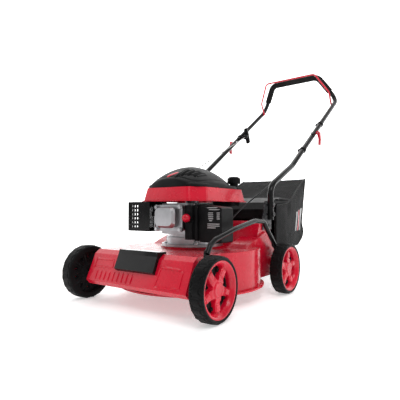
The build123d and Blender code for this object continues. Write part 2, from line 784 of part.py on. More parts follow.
BAIL_Y, BAIL_Z = along_fold(378)


def lap_half(low_x, high_x, length):
    """Cutter that covers one half of a tube near the fold pivot."""
    y, z = along_fold(0)
    with BuildPart() as cutter:
        with BuildSketch(side_plane(low_x)):
            with Locations((st(y), z)):
                Circle(length)
        extrude(amount=high_x - low_x)
    return cutter.part


def make_lower_tube(side):
    end = along_fold(26)
    points = [(HANDLE_X, st(y), z) for y, z in LOWER_ROUTE[:-1]] + [(HANDLE_X, st(end[0]), end[1])]
    with BuildPart() as lower_tube:
        add(rod(points, [60, 120], TUBE_R, TUBE_WALL))
        add(lap_half(HANDLE_X - 0.3, HANDLE_X + 20, LAP), mode=Mode.SUBTRACT)
        bolt = cross_pin(HANDLE_X - 20, HANDLE_X + 20, st(FOLD_Y), FOLD_Z, 4.1)
        add(bolt, mode=Mode.SUBTRACT)
        for z in (282, 316):
            hole = cross_pin(HANDLE_X - 20, HANDLE_X + 20, st(441), z, 4.2)
            add(hole, mode=Mode.SUBTRACT)
        if side < 0:
            mirror(about=Plane.YZ, mode=Mode.REPLACE)
    return lower_tube


def make_handle_bolts():
    with BuildPart() as handle_bolts:
        pieces = []
        for z in (282, 316):
            bolt = cross_pin(HUMP_HALF - 3, HANDLE_X + 14, st(441), z, 4)
            bolt += cross_pin(HANDLE_X + TUBE_R + 0.1, HANDLE_X + TUBE_R + 4.1, st(441), z, 8)
            bolt += cross_pin(HUMP_HALF - 5, HUMP_HALF + 0.2, st(441), z, 6.5)
            pieces.append(bolt)
        for y in BRACKET_BOLTS:
            bolt = cross_pin(HUMP_HALF - SHEET - 4, HUMP_HALF + 8, st(y), BRACKET_BOLT_Z, 3)
            bolt += cross_pin(HUMP_HALF - SHEET - 5, HUMP_HALF - SHEET - 0.1, st(y), BRACKET_BOLT_Z, 5.5)
            bolt += cross_pin(HUMP_HALF + 4.4, HUMP_HALF + 8, st(y), BRACKET_BOLT_Z, 5.5)
            pieces.append(bolt)
        for piece in pieces:
            add(piece)
            add(mirrored(piece))
    return handle_bolts


UPPER_A = along_fold(437)
CROSSBAR = (130.0, 1201.0, 1016.0)


def make_upper_handlebar():
    start = along_fold(-26)
    bar_x, bar_y, bar_z = CROSSBAR
    left = [(HANDLE_X, st(start[0]), start[1]), (HANDLE_X, st(UPPER_A[0]), UPPER_A[1]), (bar_x, st(bar_y), bar_z)]
    right = [(-x, y, z) for x, y, z in reversed(left)]
    with BuildPart() as upper_handlebar:
        add(rod(left + right, [55, 45, 45, 55], TUBE_R, TUBE_WALL))
        for sign in (-1, 1):
            low = HANDLE_X - 20 if sign > 0 else -HANDLE_X - 0.3
            high = HANDLE_X + 0.3 if sign > 0 else -HANDLE_X + 20
            add(lap_half(low, high, LAP), mode=Mode.SUBTRACT)
            hole = cross_pin(sign * HANDLE_X - 20, sign * HANDLE_X + 20, st(FOLD_Y), FOLD_Z, 4.1)
            add(hole, mode=Mode.SUBTRACT)
            pivot = cross_pin(sign * HANDLE_X - 20, sign * HANDLE_X, st(BAIL_Y), BAIL_Z, BAIL_R + 0.1)
            if sign < 0:
                pivot = cross_pin(-HANDLE_X, -HANDLE_X + 20, st(BAIL_Y), BAIL_Z, BAIL_R + 0.1)
            add(pivot, mode=Mode.SUBTRACT)
    return upper_handlebar


def make_foam_grip():
    bar_x, bar_y, bar_z = CROSSBAR
    a = Vector(HANDLE_X, st(UPPER_A[0]), UPPER_A[1])
    c = Vector(bar_x, st(bar_y), bar_z)
    run = c - a
    low = a + run * 0.36
    left = [tuple(low), tuple(c)]
    right = [(-x, y, z) for x, y, z in reversed(left)]
    with BuildPart() as foam_grip:
        add(rod(left + right, [45, 45], TUBE_R + 4.5, 4.45))
    return foam_grip


def make_cam_lever(side):
    y = st(FOLD_Y)
    hub_x = HANDLE_X + TUBE_R + 9
    with BuildPart() as cam_lever:
        add(long_pin(hub_x, y - 9, y + 9, FOLD_Z, 8.5))
        with BuildSketch(Plane.XZ.offset(-(y - 8))):
            Polygon((hub_x - 4, FOLD_Z - 2), (hub_x + 8.4, FOLD_Z + 1), (hub_x + 12, FOLD_Z - 30),
                    (hub_x + 9, FOLD_Z - 56), (hub_x + 2, FOLD_Z - 56), (hub_x + 3, FOLD_Z - 28), align=None)
        extrude(amount=-16)
        add(block(hub_x - 12, hub_x + 5, y - 4.3, y + 4.3, FOLD_Z - 5, FOLD_Z + 9), mode=Mode.SUBTRACT)
        add(long_pin(hub_x, y - 20, y + 20, FOLD_Z, 2.55), mode=Mode.SUBTRACT)
        if side < 0:
            mirror(about=Plane.YZ, mode=Mode.REPLACE)
    return cam_lever


def make_fold_bolts():
    y = st(FOLD_Y)
    hub_x = HANDLE_X + TUBE_R + 9
    with BuildPart() as fold_bolts:
        bolt = cross_pin(HANDLE_X - TUBE_R - 2, hub_x, y, FOLD_Z, 4)
        bolt += cross_pin(HANDLE_X - TUBE_R - 2.2, HANDLE_X - TUBE_R - 0.2, y, FOLD_Z, 8)
        bolt += long_pin(hub_x, y - 8.9, y + 8.9, FOLD_Z, 2.5)
        add(bolt)
        add(mirrored(bolt))
    return fold_bolts


BAIL_KNEE = (1184.0, 918.0)
BAIL_CORNER = (138.0, 1130.0, 1010.0)


def make_opc_bail():
    x, y, z = BAIL_CORNER
    foot = (BAIL_X, st(BAIL_Y), BAIL_Z)
    left = [foot, (BAIL_X, st(BAIL_KNEE[0]), BAIL_KNEE[1]), (x, st(y), z)]
    right = [(-a, b, c) for a, b, c in reversed(left)]
    with BuildPart() as opc_bail:
        add(rod(left + right, [30, 26, 26, 30], BAIL_R))
        for sign in (-1, 1):
            x0 = min(sign * (BAIL_X - 1), sign * (HANDLE_X - 2))
            add(cross_pin(x0, x0 + HANDLE_X - BAIL_X - 1, st(BAIL_Y), BAIL_Z, BAIL_R))
        with Locations((BAIL_X, st(BAIL_Y), BAIL_Z), (-BAIL_X, st(BAIL_Y), BAIL_Z)):
            Sphere(BAIL_R)
    return opc_bail


CABLE_R = 2.5
CABLE_X = HANDLE_X - 17.5
CABLE_ROUTE = [(CABLE_X, 1000, 704), (CABLE_X, 905, 640), (CABLE_X, 760, 544), (CABLE_X, 690, 494)]
CABLE_ROUTE += [(194, 600, 444), (188, 520, 405), (176, 462, 372), (158, 410, 340), (140, 350, 300)]
CABLE_ROUTE += [(128, 300, 262), (122, 262, 240)]


def make_brake_cable():
    points = [(x, st(y), z) for x, y, z in CABLE_ROUTE]
    with BuildPart() as brake_cable:
        add(rod(points, corner_radii(points), CABLE_R))
    print("brake cable radii", [round(r) for r in corner_radii(points)])
    return brake_cable


def clip_at(y, z, slope):
    """Band round a handle tube that also holds the cable beside it."""
    normal = (0, cos(slope), sin(slope))
    plane = Plane(origin=(HANDLE_X, st(y), z), x_dir=(1, 0, 0), z_dir=normal)
    with BuildPart() as clip:
        with BuildSketch(plane):
            Circle(TUBE_R + 3)
            with Locations((CABLE_X - HANDLE_X, 0)):
                Circle(CABLE_R + 2.6)
            Circle(TUBE_R + 0.05, mode=Mode.SUBTRACT)
            with Locations((CABLE_X - HANDLE_X, 0)):
                Circle(CABLE_R + 0.05, mode=Mode.SUBTRACT)
        extrude(amount=6, both=True)
    return clip.part


def make_cable_clips():
    y, z = along_fold(-170)
    with BuildPart() as cable_clips:
        add(clip_at(y, z, SLOPE))
    return cable_clips


def make_cable_anchor():
    y, z = along_fold(105)
    with BuildPart() as cable_anchor:
        add(clip_at(y, z, SLOPE))
    return cable_anchor


ROPE_R = 1.75
ROPE_OFFSET = 31.0


def make_rope_guide():
    y, z = along_fold(64)
    normal = (0, cos(SLOPE), sin(SLOPE))
    plane = Plane(origin=(-HANDLE_X, st(y), z), x_dir=(1, 0, 0), z_dir=normal)
    with BuildPart() as rope_guide:
        with BuildSketch(plane):
            Circle(TUBE_R + 3)
            with Locations((ROPE_OFFSET / 2, 0)):
                Rectangle(ROPE_OFFSET, 8)
            with Locations((ROPE_OFFSET, 0)):
                Circle(11)
            Circle(TUBE_R + 0.05, mode=Mode.SUBTRACT)
            with Locations((ROPE_OFFSET, 0)):
                Circle(6.5, mode=Mode.SUBTRACT)
        extrude(amount=5, both=True)
    return rope_guide


def rope_points():
    y, z = along_fold(64)
    return [(-HANDLE_X + ROPE_OFFSET, st(y), z), (-40, st(330), 452)]


def make_starter_grip():
    start, end = (Vector(*p) for p in rope_points())
    pull = (start - end).normalized()
    base = start + pull * 14
    plane = Plane(origin=tuple(base), x_dir=(1, 0, 0), z_dir=tuple(pull))
    with BuildPart() as starter_grip:
        with BuildSketch(plane):
            Circle(9)
        extrude(amount=18)
        with BuildSketch(plane.offset(18)):
            RectangleRounded(19, 84, 9)
        extrude(amount=18)
    return starter_grip


def make_starter_rope():
    start, end = (Vector(*p) for p in rope_points())
    pull = (start - end).normalized()
    top = start + pull * 13.7
    with BuildPart() as starter_rope:
        add(rod([tuple(end), tuple(top)], None, ROPE_R))
    return starter_rope


# ---------------------------------------------------------------- flap and bag
def make_rear_flap():
    outer = [(452, 264), (452, 300), (478, 326), (560, 346), (650, 342), (650, 336), (560, 340), (481, 321)]
    outer += [(456, 298), (456, 264)]
    front = outer[:3] + [(534, 340), (534, 334)] + outer[7:]
    top = [(534, 340), (560, 346), (650, 342), (650, 336), (560, 340), (534, 334)]
    with BuildPart() as rear_flap:
        add(side_slab(front, -FLAP_FRONT_HALF, FLAP_FRONT_HALF))
        add(side_slab(top, -FLAP_HALF, FLAP_HALF))
        for x in (-150, -20, 120):
            knuckle = cross_pin(x, x + 30, st(FLAP_ROD_Y), FLAP_ROD_Z, 9)
            knuckle += side_slab([(452, 264), (462, 264), (462, 280), (452, 280)], x, x + 30)
            add(knuckle)
        rod_hole = cross_pin(-250, 250, st(FLAP_ROD_Y), FLAP_ROD_Z, FLAP_ROD_R + RUNNING_GAP)
        add(rod_hole, mode=Mode.SUBTRACT)
    return rear_flap


def make_flap_rod():
    with BuildPart() as flap_rod:
        end_x = HUMP_HALF + 5
        add(cross_pin(-end_x, end_x, st(FLAP_ROD_Y), FLAP_ROD_Z, FLAP_ROD_R))
    return flap_rod


def bag_body(inset, front):
    """Closed bag shape, tapering rearwards in plan, with a flat mouth at the front."""
    outline = [(front, 142 + inset), (front, 314 - inset), (652, 324 - inset), (925 - inset, 452 - inset)]
    outline += [(921 - inset, 440), (862 - inset, 232), (893 - inset, 204), (872 - inset, 172)]
    outline += [(800, 142 + inset)]
    with BuildPart() as bag:
        add(side_slab(outline, -BAG_HALF_FRONT, BAG_HALF_FRONT))
        with BuildSketch(Plane.XY.offset(100)):
            y0 = st(front)
            y1 = st(930)
            near = BAG_HALF_FRONT - inset
            far = BAG_HALF_REAR - inset
            Polygon((-near, y0), (near, y0), (far, y1), (-far, y1), align=None)
        extrude(amount=400, mode=Mode.INTERSECT)
    return bag.part


def make_bag_fabric():
    with BuildPart() as bag_fabric:
        add(bag_body(0, BAG_Y))
        add(bag_body(BAG_WALL, BAG_Y - 8), mode=Mode.SUBTRACT)
    return bag_fabric


def make_bag_frame():
    x = BAG_HALF_FRONT - 8
    y = BAG_Y + 7
    low = 152.0
    high = 304.0
    half_loop = [(0, st(y), low), (x, st(y), low), (x, st(y), high), (0, st(y), high)]
    bow_y, bow_z = 900.0, 430.0
    left = [(x - 2, st(y), high - 2), (x - 12, st(652), 312), (140, st(bow_y), bow_z)]
    right = [(-a, b, c) for a, b, c in reversed(left)]
    with BuildPart() as bag_frame:
        add(rod(half_loop, [20, 20], 3.5))
        add(mirrored(rod(half_loop, [20, 20], 3.5)))
        add(rod(left + right, [60, 30, 30, 60], 3.5))
        for sign in (-1, 1):
            hook = block(sign * 150 - 12, sign * 150 + 12, st(BAG_Y - 20), st(y), high - 3, high + 3)
            add(hook)
    return bag_frame


def build_all():
    os.makedirs("parts", exist_ok=True)
    save(make_deck_shell(), "deck_shell")
    save(make_front_grip_insert(), "front_grip_insert")
    save(make_handle_brackets(), "handle_brackets")
    save(make_axle_bushings(), "axle_bushings")
    save(make_axle(0, True), "front_axle")
    save(make_axle(WHEELBASE, True), "rear_axle")
    save(make_height_link(), "height_link")
    for end, y in (("front", 0), ("rear", WHEELBASE)):
        for name, side in (("left", 1), ("right", -1)):
            save(make_wheel(side, y), f"{end}_{name}_wheel")
            save(make_hubcap(side, y), f"{end}_{name}_hubcap")
    save(make_engine_sump(), "engine_sump")
    save(make_crankcase(), "crankcase")
    save(make_cylinder_head(), "cylinder_head")
    save(make_valve_cover(), "valve_cover")
    save(make_spark_plug(), "spark_plug")
    save(make_ignition_lead(), "ignition_lead")
    save(make_muffler(), "muffler")
    save(make_muffler_guard(), "muffler_guard")
    save(make_carburettor(), "carburettor")
    save(make_air_filter_base(), "air_filter_base")
    save(make_air_filter_element(), "air_filter_element")
    save(make_air_filter_cover(), "air_filter_cover")
    save(make_primer_bulb(), "primer_bulb")
    save(make_fuel_tank(), "fuel_tank")
    save(make_fuel_cap(), "fuel_cap")
    save(make_oil_cap(), "oil_cap")
    save(make_blower_shroud(), "blower_shroud")
    save(make_recoil_cover(), "recoil_cover")
    save(make_engine_bolts(), "engine_bolts")
    save(make_brake_lever(), "brake_lever")
    save(make_crankshaft(), "crankshaft")
    save(make_flywheel(), "flywheel")
    save(make_blade_adapter(), "blade_adapter")
    save(make_blade(), "blade")
    save(make_blade_bolt(), "blade_bolt")
    save(make_recoil_pulley(), "recoil_pulley")
    save(make_lower_tube(1), "lower_tube_left")
    save(make_lower_tube(-1), "lower_tube_right")
    save(make_handle_bolts(), "handle_bolts")
    save(make_upper_handlebar(), "upper_handlebar")
    save(make_foam_grip(), "foam_grip")
    save(make_fold_bolts(), "fold_bolts")
    save(make_cam_lever(1), "cam_lever_left")
    save(make_cam_lever(-1), "cam_lever_right")
    save(make_opc_bail(), "opc_bail")
    save(make_brake_cable(), "brake_cable")
    save(make_cable_clips(), "cable_clips")
    save(make_cable_anchor(), "cable_anchor")
    save(make_rope_guide(), "rope_guide")
    save(make_starter_grip(), "starter_grip")
    save(make_starter_rope(), "starter_rope")
    save(make_rear_flap(), "rear_flap")
    save(make_flap_rod(), "flap_rod")
    save(make_bag_frame(), "bag_frame")
    save(make_bag_fabric(), "bag_fabric")


build_all()
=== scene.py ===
import json
import math

import bpy
from mathutils import Euler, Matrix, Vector, noise
from mathutils.bvhtree import BVHTree


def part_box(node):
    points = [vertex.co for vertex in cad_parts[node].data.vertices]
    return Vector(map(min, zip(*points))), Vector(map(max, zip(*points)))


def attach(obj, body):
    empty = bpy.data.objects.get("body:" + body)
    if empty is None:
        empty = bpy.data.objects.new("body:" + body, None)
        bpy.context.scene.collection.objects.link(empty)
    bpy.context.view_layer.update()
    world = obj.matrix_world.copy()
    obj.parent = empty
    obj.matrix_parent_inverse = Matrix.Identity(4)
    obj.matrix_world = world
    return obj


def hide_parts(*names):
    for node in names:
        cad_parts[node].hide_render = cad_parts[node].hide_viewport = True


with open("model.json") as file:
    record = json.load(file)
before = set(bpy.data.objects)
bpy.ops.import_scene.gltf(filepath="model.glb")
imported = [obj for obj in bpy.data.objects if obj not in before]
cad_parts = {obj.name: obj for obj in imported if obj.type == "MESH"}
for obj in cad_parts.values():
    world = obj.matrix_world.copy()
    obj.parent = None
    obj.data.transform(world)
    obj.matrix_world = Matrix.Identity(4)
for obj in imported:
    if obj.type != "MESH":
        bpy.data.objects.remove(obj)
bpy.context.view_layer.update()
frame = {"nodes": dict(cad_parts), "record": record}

MM = 0.001
TAU = 2 * math.pi
EDGE_RADIUS = 0.0016
WAVES_PER_THREAD = 0.314
SHARP_ANGLE = math.radians(38)
WHITE = (1, 1, 1, 1)


def middle(node):
    low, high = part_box(node)
    return [(a + b) / 2 for a, b in zip(low, high)]


AXLE_Y = middle("front_left_wheel")[1]


def at(x, y, z):
    """Point from millimetres, with y measured back from the front axle."""
    return Vector((x * MM, AXLE_Y + y * MM, z * MM))


# ---------------------------------------------------------------- materials
def finish_of(name, colour, rough, metal=0.0, coat=0.0, grain=900.0, bump=0.12,
              depth=0.0004, wear=0.25, wear_colour=None, mottle=0.12, sheen=0.0,
              cells=False, round_edges=True):
    """Procedural finish: mottled colour, uneven roughness, worn edges and a fine grain."""
    m = bpy.data.materials.new(name)
    m.use_nodes = True
    tree = m.node_tree
    link = tree.links.new
    out = tree.nodes["Principled BSDF"]
    out.inputs["Metallic"].default_value = metal
    out.inputs["Coat Weight"].default_value = coat
    out.inputs["Coat Roughness"].default_value = 0.08
    out.inputs["Sheen Weight"].default_value = sheen
    out.inputs["Specular IOR Level"].default_value = 0.1 if max(colour) < 0.1 else 0.3
    place = tree.nodes.new("ShaderNodeTexCoord")

    def field(scale, detail):
        n = tree.nodes.new("ShaderNodeTexNoise")
        n.inputs["Scale"].default_value = scale
        n.inputs["Detail"].default_value = detail
        link(place.outputs["Object"], n.inputs["Vector"])
        return n.outputs["Fac"]

    def ramp(source, low, high, a, b):
        n = tree.nodes.new("ShaderNodeMapRange")
        for key, value in (("From Min", low), ("From Max", high), ("To Min", a), ("To Max", b)):
            n.inputs[key].default_value = value
        link(source, n.inputs["Value"])
        return n.outputs["Result"]

    def blend(factor, first, second):
        n = tree.nodes.new("ShaderNodeMix")
        n.data_type = "RGBA"
        link(factor, n.inputs["Factor"])
        for socket, value in ((n.inputs["A"], first), (n.inputs["B"], second)):
            if isinstance(value, tuple):
                socket.default_value = (*value, 1.0)
            else:
                link(value, socket)
        return n.outputs["Result"]

    broad = field(9.0, 4.0)
    dark = tuple(c * (1 - 2 * mottle) for c in colour)
    light = tuple(min(1.0, c * (1 + mottle) + 0.004) for c in colour)
    tint = blend(ramp(broad, 0.35, 0.65, 0.0, 1.0), dark, light)
    shape = tree.nodes.new("ShaderNodeNewGeometry")
    edge = ramp(shape.outputs["Pointiness"], 0.56, 0.7, 0.0, wear)
    scuff = tree.nodes.new("ShaderNodeMath")
    scuff.operation = "MULTIPLY"
    link(edge, scuff.inputs[0])
    link(ramp(field(140.0, 3.0), 0.4, 0.62, 0.0, 1.0), scuff.inputs[1])
    worn = wear_colour or tuple(min(1.0, c * 1.5 + 0.02) for c in colour)
    tint = blend(scuff.outputs[0], tint, worn)
    link(tint, out.inputs["Base Color"])
    least, most = max(0.03, rough - 0.05), min(1.0, rough + 0.08)
    link(ramp(field(38.0, 5.0), 0.3, 0.7, least, most), out.inputs["Roughness"])
    if cells:
        tex = tree.nodes.new("ShaderNodeTexVoronoi")
        tex.inputs["Scale"].default_value = grain
        link(place.outputs["Object"], tex.inputs["Vector"])
        height = tex.outputs["Distance"]
    else:
        height = field(grain, 2.0)
    b = tree.nodes.new("ShaderNodeBump")
    b.inputs["Strength"].default_value = bump
    b.inputs["Distance"].default_value = depth
    link(height, b.inputs["Height"])
    if round_edges:
        soft = tree.nodes.new("ShaderNodeBevel")
        soft.samples = 4
        soft.inputs["Radius"].default_value = EDGE_RADIUS
        link(soft.outputs["Normal"], b.inputs["Normal"])
    link(b.outputs["Normal"], out.inputs["Normal"])
    return m


def woven(name, colour, thread):
    """Plain-weave cloth: two crossed rows of threads in the cloth's own flat coordinates."""
    m = finish_of(name, colour, 0.72, sheen=0.05, wear=0.0, mottle=0.25)
    tree = m.node_tree
    link = tree.links.new
    flat = tree.nodes.new("ShaderNodeUVMap")
    rows = []
    for direction in ("X", "Y"):
        wave = tree.nodes.new("ShaderNodeTexWave")
        wave.bands_direction = direction
        wave.inputs["Scale"].default_value = WAVES_PER_THREAD / thread
        wave.inputs["Distortion"].default_value = 0.6
        link(flat.outputs["UV"], wave.inputs["Vector"])
        rows.append(wave.outputs["Fac"])
    cross = tree.nodes.new("ShaderNodeMath")
    cross.operation = "MULTIPLY"
    link(rows[0], cross.inputs[0])
    link(rows[1], cross.inputs[1])
    b = tree.nodes.new("ShaderNodeBump")
    b.inputs["Strength"].default_value = 0.45
    b.inputs["Distance"].default_value = 0.0006
    link(cross.outputs[0], b.inputs["Height"])
    link(b.outputs["Normal"], tree.nodes["Principled BSDF"].inputs["Normal"])
    return m


RED = (0.6, 0.001, 0.022)
BARE = (0.42, 0.42, 0.43)
SHELL = finish_of("red_shell", RED, 0.24, coat=0.22, grain=1500.0, bump=0.02,
                  depth=0.0002, wear=0.03, mottle=0.05, round_edges=False)
HUB = finish_of("red_plastic", (0.6, 0.001, 0.024), 0.24, coat=0.2, grain=1500.0,
                bump=0.05, wear=0.15)
ROD = finish_of("red_rod", RED, 0.25, coat=0.4, grain=900.0, wear=0.3, wear_colour=BARE)
STEEL = finish_of("bracket_steel", (0.018, 0.018, 0.02), 0.34, metal=0.3, wear=0.5,
                  wear_colour=BARE)
BLACK = finish_of("black_plastic", (0.004, 0.004, 0.0045), 0.4, grain=1400.0, bump=0.25,
                  wear=0.3)
SATIN = finish_of("satin_plastic", (0.005, 0.005, 0.0055), 0.42, grain=1100.0, bump=0.35,
                  wear=0.3)
GLOSS = finish_of("gloss_plastic", (0.002, 0.002, 0.0023), 0.12, coat=0.25, grain=300.0,
                  bump=0.03, wear=0.2)
TYRE = finish_of("tyre_black", (0.003, 0.003, 0.0033), 0.5, grain=800.0, bump=0.4,
                 wear=0.5, wear_colour=(0.03, 0.03, 0.03))
TUBE = finish_of("black_tube", (0.002, 0.002, 0.0023), 0.16, coat=0.25, grain=500.0,
                 bump=0.06, wear=0.3)
FOAM = finish_of("foam", (0.012, 0.012, 0.012), 0.9, grain=700.0, bump=0.9, depth=0.0009,
                 wear=0.0, cells=True)
CAST = finish_of("cast_aluminium", (0.5, 0.5, 0.52), 0.36, metal=0.9, grain=650.0,
                 bump=0.35, wear=0.6, wear_colour=(0.85, 0.85, 0.87))
PLATED = finish_of("plated_steel", (0.6, 0.6, 0.62), 0.25, metal=1.0, grain=1600.0, bump=0.08)
IRON = finish_of("cast_iron", (0.2, 0.2, 0.21), 0.5, metal=0.75, grain=420.0, bump=0.5)
BLADE = finish_of("blade_steel", (0.12, 0.12, 0.125), 0.36, metal=0.9, wear=0.8,
                  wear_colour=(0.6, 0.6, 0.6))
BUSH = finish_of("bushing", (0.03, 0.03, 0.032), 0.5)
FILTER = finish_of("filter_foam", (0.05, 0.05, 0.055), 0.95, grain=420.0, bump=1.0,
                   depth=0.0015, cells=True)
CABLE = finish_of("cable", (0.01, 0.01, 0.011), 0.35, coat=0.3)
ROPE = finish_of("rope", (0.45, 0.44, 0.42), 0.85, grain=1300.0, bump=0.8, depth=0.0008,
                 cells=True, mottle=0.3)
CLOTH = woven("bag_cloth", (0.003, 0.003, 0.0033), 0.0016)
PALE = finish_of("print_grey", (0.55, 0.55, 0.55), 0.5, wear=0.0)
FINISHES = {
    "red_shell": SHELL, "red_plastic": HUB, "red_rod": ROD, "bracket_steel": STEEL,
    "black_plastic": BLACK, "tyre_black": TYRE, "black_tube": TUBE, "foam": FOAM,
    "cast_aluminium": CAST, "plated_steel": PLATED, "cast_iron": IRON, "blade_steel": BLADE,
    "bushing": BUSH, "filter_foam": FILTER, "cable": CABLE, "rope": ROPE, "bag_cloth": CLOTH,
}
SPECIAL = {
    "front_grip_insert": GLOSS, "handle_bolts": STEEL, "recoil_cover": SATIN,
    "blower_shroud": SHELL, "height_link": TUBE,
}
for node, obj in frame["nodes"].items():
    data = obj.data
    slot = data.materials[0].name.split(".")[0]
    data.materials.clear()
    data.materials.append(SPECIAL.get(node, FINISHES[slot]))


# ---------------------------------------------------------------- mesh helpers
def make_mesh(name, points, faces, materials, body, indices=None, smooth=True):
    """Mesh object in the scene, on its body, with an optional material index for each face."""
    mesh = bpy.data.meshes.new(name)
    mesh.from_pydata([tuple(p) for p in points], [], faces)
    for material in materials:
        mesh.materials.append(material)
    if indices:
        mesh.polygons.foreach_set("material_index", indices)
    mesh.update()
    if smooth:
        mesh.polygons.foreach_set("use_smooth", [True] * len(mesh.polygons))
        mesh.set_sharp_from_angle(angle=SHARP_ANGLE)
    obj = bpy.data.objects.new(name, mesh)
    bpy.context.scene.collection.objects.link(obj)
    if body:
        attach(obj, body)
    return obj


def ring_faces(rows, columns, closed=True):
    """Four-sided faces between rows of points, each row a ring or an open line."""
    faces = []
    span = columns if closed else columns - 1
    for i in range(rows - 1):
        for j in range(span):
            k = (j + 1) % columns
            here, after = i * columns, (i + 1) * columns
            faces.append((here + j, here + k, after + k, after + j))
    return faces


def tube(name, route, radius, material, body, cyclic=False):
    """Round bar along a smooth line."""
    curve = bpy.data.curves.new(name, "CURVE")
    curve.dimensions = "3D"
    curve.bevel_depth = radius * MM
    curve.bevel_resolution = 4
    curve.use_fill_caps = True
    line = curve.splines.new("POLY")
    line.points.add(len(route) - 1)
    for point, place in zip(line.points, route):
        point.co = (*place, 1.0)
    line.use_cyclic_u = cyclic
    curve.materials.append(material)
    shell = bpy.data.objects.new(name + "_line", curve)
    bpy.context.scene.collection.objects.link(shell)
    ready = shell.evaluated_get(bpy.context.evaluated_depsgraph_get())
    mesh = bpy.data.meshes.new_from_object(ready)
    bpy.data.objects.remove(shell)
    obj = bpy.data.objects.new(name, mesh)
    mesh.polygons.foreach_set("use_smooth", [True] * len(mesh.polygons))
    bpy.context.scene.collection.objects.link(obj)
    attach(obj, body)
    return obj


TREES = {}


def hit(node, origin, direction):
    """Where a straight line meets a CAD node, and the surface's direction there."""
    if node not in TREES:
        data = frame["nodes"][node].data
        places = [v.co for v in data.vertices]
        TREES[node] = BVHTree.FromPolygons(places, [p.vertices for p in data.polygons])
    place, normal, _, _ = TREES[node].ray_cast(origin, direction)
    return place, normal


def pad(name, node, corners, direction, lift, material, body, steps=(8, 8)):
    """Thin raised patch that lies on a CAD node, over four corners seen along a direction."""
    a, b, c, d = corners
    direction = Vector(direction).normalized()
    nu, nv = steps
    points = []
    for i in range(nu + 1):
        for j in range(nv + 1):
            u, v = i / nu, j / nv
            start = a.lerp(b, u).lerp(d.lerp(c, u), v) - direction * 0.5
            place, _ = hit(node, start, direction)
            if place is None:
                return None
            rim = i in (0, nu) or j in (0, nv)
            points.append(place - direction * (lift * MM * (-0.15 if rim else 1.0)))
    columns = nv + 1
    faces = ring_faces(nu + 1, columns, closed=False)
    return make_mesh(name, points, faces, [material], body)


def step(x, low, high):
    """Smooth rise from 0 at low to 1 at high."""
    t = min(1.0, max(0.0, (x - low) / (high - low)))
    return t * t * (3 - 2 * t)


# ---------------------------------------------------------------- wheels
LUGS = 20
SPOKES = 5
WEB_HOLES = 10
WEB_HOLE_RADIUS = 5.6
WEB_HOLE_RING = 52
TYRE_RADIUS = 88.9
TREAD_RADIUS = 88
WHEEL_HALF_WIDTH = 22.0
WHEEL_COLUMNS = 240


def tread_radius(angle, x):
    """Tyre surface: flat lugs with round notches along both shoulders, as on the real tread."""
    radius = TYRE_RADIUS - 1.1 * step(abs(x), 17.5, 21.8) * 3
    pitch = TAU / LUGS
    for side, offset in ((1, 0.0), (-1, 0.5)):
        local = ((angle / pitch + offset) % 1.0 - 0.5) * pitch * TREAD_RADIUS
        reach = math.hypot(local, x - side * 21.0)
        ring = 1 - step(abs(reach - 10.5), 0.7, 1.9)
        cup = 1 - step(reach, 8.2, 10.0)
        radius -= 2.3 * ring + 0.9 * cup
    groove = abs(((angle / pitch + 0.25) % 1.0) - 0.5) * pitch * TREAD_RADIUS
    radius -= 1.2 * (1 - step(abs(groove), 0.8, 1.9)) * (1 - step(abs(x), 9.5, 11.5))
    facet = abs(((angle / pitch) % 1.0) - 0.5) * 2
    return radius - 1.6 * facet ** 3


